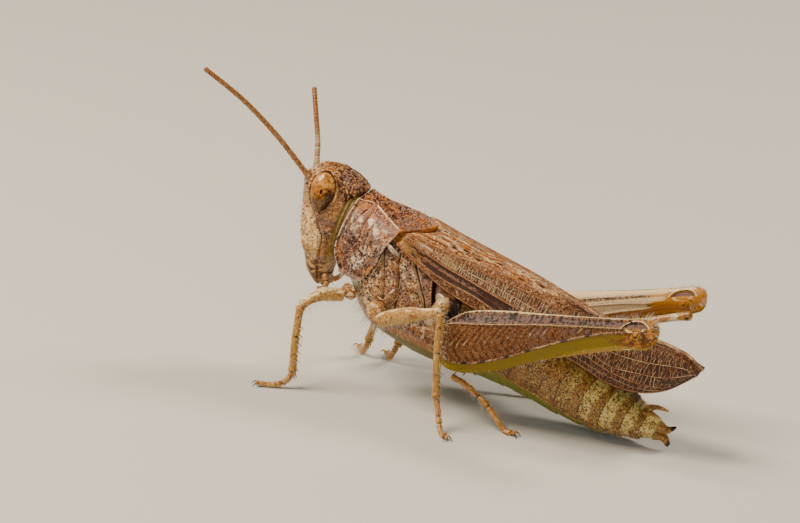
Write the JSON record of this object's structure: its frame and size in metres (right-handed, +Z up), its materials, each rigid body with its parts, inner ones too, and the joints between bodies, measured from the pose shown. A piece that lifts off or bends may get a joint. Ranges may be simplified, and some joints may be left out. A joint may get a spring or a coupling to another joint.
{
  "type": "short-horned grasshopper model",
  "caption": "Life-size still model of a tan and russet field grasshopper standing at rest, wings closed along the back and hind legs folded, for display.",
  "frame": {"origin": "middle of the model's footprint on the floor, at the level of the soles", "axes": "+Z up, the animal looks along -Y, its left side is +X"},
  "size_m": [0.0102, 0.0268, 0.0151],
  "materials": {
    "head_shell": "satin tan cuticle with brown speckles",
    "mouth_shell": "satin mottled brown cuticle",
    "eye_lens": "glossy amber with dark mottling",
    "feeler": "satin orange-brown rings",
    "pronotum_shell": "satin russet cuticle with pale ridges",
    "side_plates": "satin cream-brown cuticle with dark pits",
    "wing": "silky brown membrane with pale veins",
    "hind_wing": "thin smoky pleated membrane",
    "belly_rings": "satin yellow-brown cuticle, olive below",
    "leg_cream": "glossy cream cuticle",
    "leg_ochre": "satin ochre cuticle with brown spots",
    "thigh": "satin russet cuticle in a herringbone, cream edges"
  },
  "bodies": {
    "root": {"head": "head_shell", "mouthparts": "mouth_shell", "palp_left": "leg_cream", "palp_right": "leg_cream", "eye_left": "eye_lens", "eye_right": "eye_lens", "antenna_left": "feeler", "antenna_right": "feeler", "pronotum": "pronotum_shell", "mesothorax": "side_plates", "metathorax": "side_plates", "tegmen_left": "wing", "tegmen_right": "wing", "hindwing_left": "hind_wing", "hindwing_right": "hind_wing", "abdomen_1": "belly_rings", "abdomen_2": "belly_rings", "abdomen_3": "belly_rings", "abdomen_4": "belly_rings", "abdomen_5": "belly_rings", "abdomen_6": "belly_rings", "abdomen_7": "belly_rings", "abdomen_8": "belly_rings", "abdomen_tip": "belly_rings", "cercus_left": "leg_ochre", "cercus_right": "leg_ochre", "ovipositor_upper": "leg_ochre", "ovipositor_lower": "leg_ochre", "front_left_coxa": "leg_cream", "front_left_femur": "leg_ochre", "front_left_tibia": "leg_ochre", "front_left_tarsus": "leg_cream", "front_right_coxa": "leg_cream", "front_right_femur": "leg_ochre", "front_right_tibia": "leg_ochre", "front_right_tarsus": "leg_cream", "middle_left_coxa": "leg_cream", "middle_left_femur": "leg_ochre", "middle_left_tibia": "leg_ochre", "middle_left_tarsus": "leg_cream", "middle_right_coxa": "leg_cream", "middle_right_femur": "leg_ochre", "middle_right_tibia": "leg_ochre", "middle_right_tarsus": "leg_cream", "hind_left_coxa": "leg_cream", "hind_left_femur": "thigh", "hind_left_tibia": "leg_ochre", "hind_left_tarsus": "leg_ochre", "hind_right_coxa": "leg_cream", "hind_right_femur": "thigh", "hind_right_tibia": "leg_ochre", "hind_right_tarsus": "leg_ochre"}
  },
  "joints": []
}
